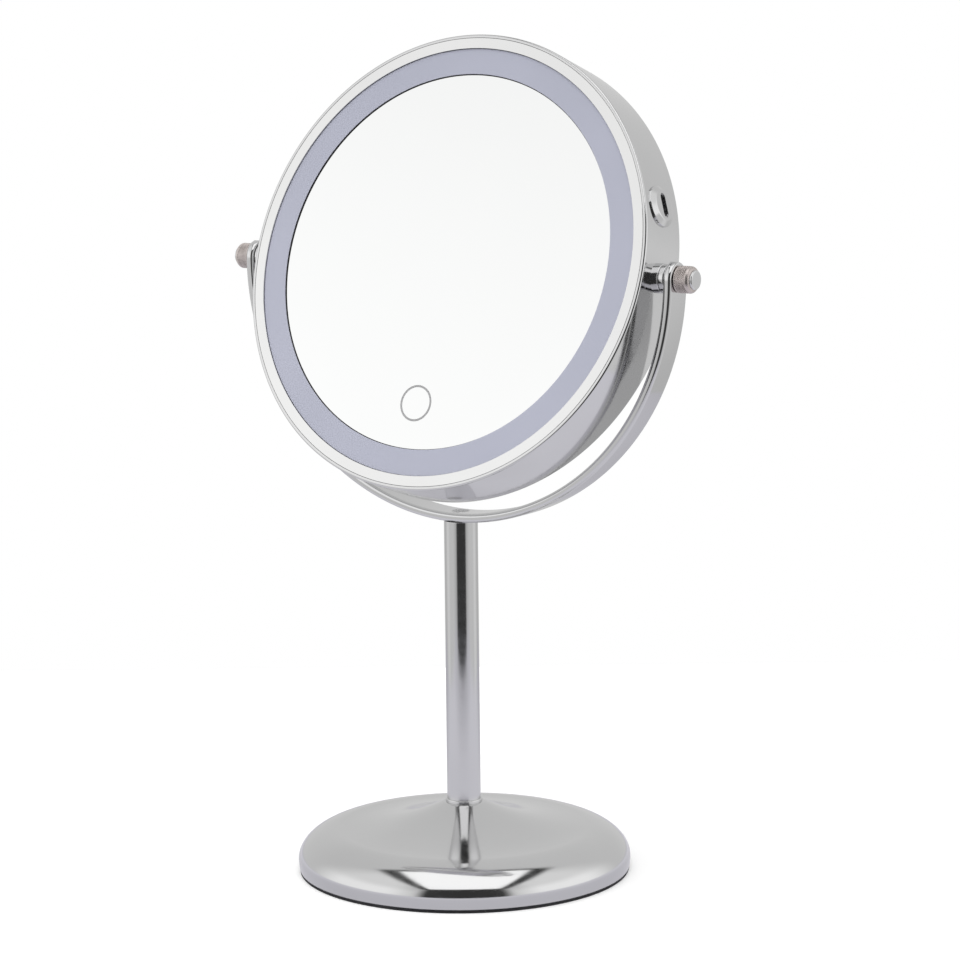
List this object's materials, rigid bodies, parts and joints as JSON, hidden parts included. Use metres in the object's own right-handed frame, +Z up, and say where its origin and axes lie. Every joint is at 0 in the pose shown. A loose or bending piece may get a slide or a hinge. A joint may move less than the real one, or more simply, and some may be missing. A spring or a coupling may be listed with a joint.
{
  "type": "lighted vanity mirror",
  "caption": "Round double-sided table mirror with a lit front ring, hung between two pivots in a U-shaped yoke on a stem and weighted round base.",
  "frame": {"origin": "centre of the base's underside, on the table", "axes": "+X along the tilt axis to the right pivot, -Y the way the lit side faces, +Z up"},
  "size_m": [0.2074, 0.128, 0.3187],
  "materials": {
    "chrome": "polished",
    "chrome_bright": "polished",
    "knurled_metal": "knurled satin",
    "plain_steel": "satin",
    "cast_weight": "rough",
    "pad_rubber": "matte",
    "mirror_glass": "polished",
    "diffuser": "frosted",
    "touch_print": "printed",
    "copper_pad": "satin",
    "white_plastic": "satin",
    "dark_plastic": "satin",
    "board_white": "satin",
    "board_green": "satin",
    "led_phosphor": "satin",
    "wire_red": "satin",
    "wire_black": "satin",
    "wire_yellow": "satin",
    "cell_foil": "satin",
    "foam": "matte",
    "tape": "matte"
  },
  "bodies": {
    "stand": {"base_pad": "pad_rubber", "base_cover": "chrome", "base_plate": "plain_steel", "base_weight": "cast_weight", "base_bolt": "plain_steel", "base_washer": "plain_steel", "stem_collar": "chrome", "stem_tube": "chrome", "stem_lower_plug": "plain_steel", "stem_upper_plug": "plain_steel", "yoke": "chrome", "yoke_screw": "plain_steel"},
    "head": {"drum_housing": "chrome", "front_bezel": "chrome_bright", "light_ring": "diffuser", "front_mirror": "mirror_glass", "touch_mark": "touch_print", "touch_pad": "copper_pad", "touch_lead": "wire_yellow", "reflector_tray": "white_plastic", "led_ring_board": "board_white", "led_chips": "led_phosphor", "led_leads": "wire_red", "chassis_plate": "dark_plastic", "assembly_screws": "plain_steel", "control_board": "board_green", "board_chips": "dark_plastic", "battery_cell": "cell_foil", "battery_tape": "tape", "battery_leads": "wire_red", "port_surround": "chrome", "usb_socket": "plain_steel", "usb_tongue": "dark_plastic", "port_board": "board_green", "port_leads": "wire_black", "rear_bezel": "chrome_bright", "rear_mirror": "mirror_glass", "rear_mirror_foam": "foam", "pivot_stud_left": "plain_steel", "pivot_stud_right": "plain_steel", "stud_plate_left": "plain_steel", "stud_plate_right": "plain_steel", "pivot_collar_left": "chrome", "pivot_collar_right": "chrome", "friction_washer_left": "chrome", "friction_washer_right": "chrome"},
    "nut_left": {"thumb_nut_left": "knurled_metal", "nut_cap_left": "chrome"},
    "nut_right": {"thumb_nut_right": "knurled_metal", "nut_cap_right": "chrome"}
  },
  "joints": [
    {"name": "head_tilt", "type": "hinge", "parent": "stand", "child": "head", "pos_m": [0, 0, 0.2325], "axis": [1, 0, 0], "continuous": true},
    {"name": "nut_left_turn", "type": "hinge", "parent": "head", "child": "nut_left", "pos_m": [-0.0997, 0, 0.2325], "axis": [-1, 0, 0], "range_deg": [0, 360]},
    {"name": "nut_right_turn", "type": "hinge", "parent": "head", "child": "nut_right", "pos_m": [0.0997, 0, 0.2325], "axis": [1, 0, 0], "range_deg": [0, 360]}
  ]
}
